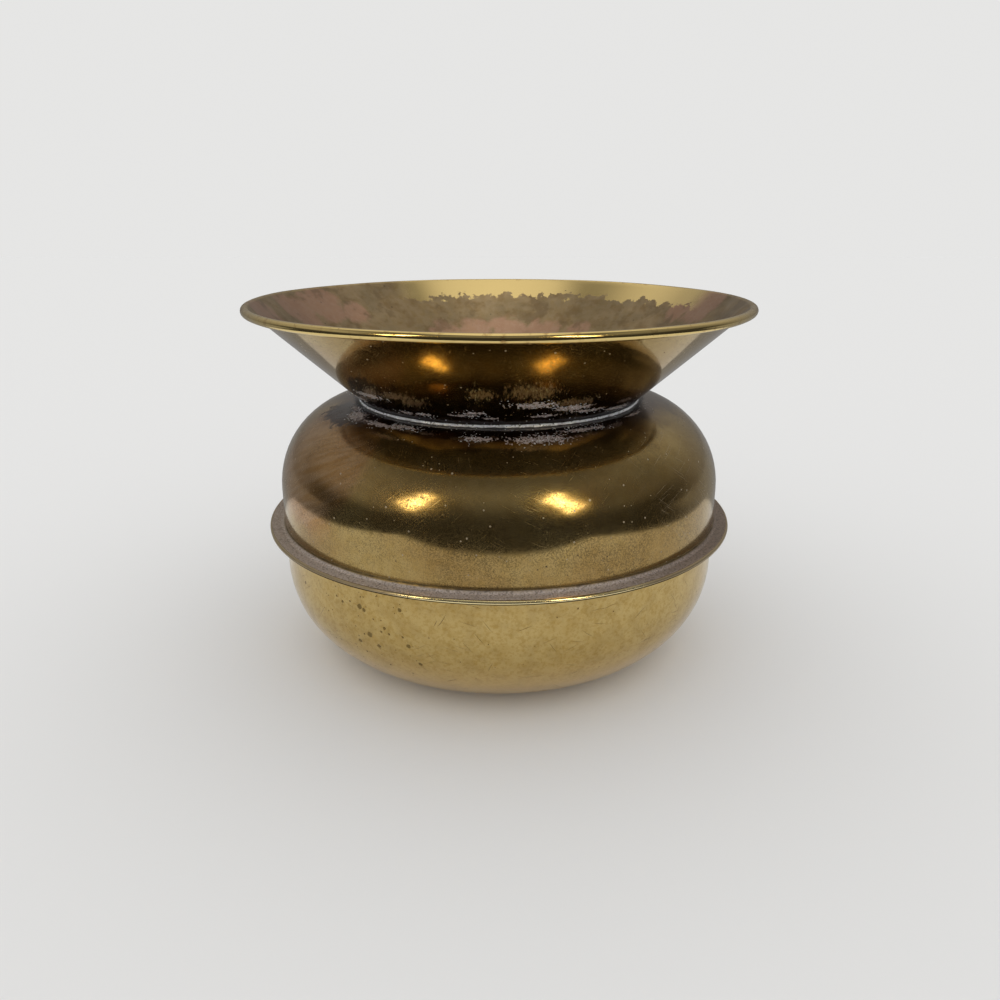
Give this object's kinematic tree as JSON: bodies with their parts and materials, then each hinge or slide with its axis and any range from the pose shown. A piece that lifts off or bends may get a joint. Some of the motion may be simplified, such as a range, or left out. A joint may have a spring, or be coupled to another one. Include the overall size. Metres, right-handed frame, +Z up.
{
  "type": "spittoon",
  "caption": "Brass spittoon with a wide funnel mouth on a wired rolled rim, a soldered neck, and a round two-part bowl crimped together at a flange round the belly.",
  "frame": {"origin": "middle of the base, on the surface that the spittoon stands on", "axes": "+Z up along the axis of the bowl; -Y towards the camera of the picture"},
  "size_m": [0.152, 0.152, 0.1088],
  "materials": {
    "funnel_brass": "polished and tarnished",
    "wire_steel": "drawn",
    "soft_solder": "dull",
    "upper_brass": "polished and tarnished",
    "lower_brass": "polished, with dark spots"
  },
  "bodies": {
    "root": {"mouth_funnel": "funnel_brass", "rim_wire": "wire_steel", "neck_solder": "soft_solder", "upper_bowl": "upper_brass", "lower_bowl": "lower_brass"}
  },
  "joints": []
}
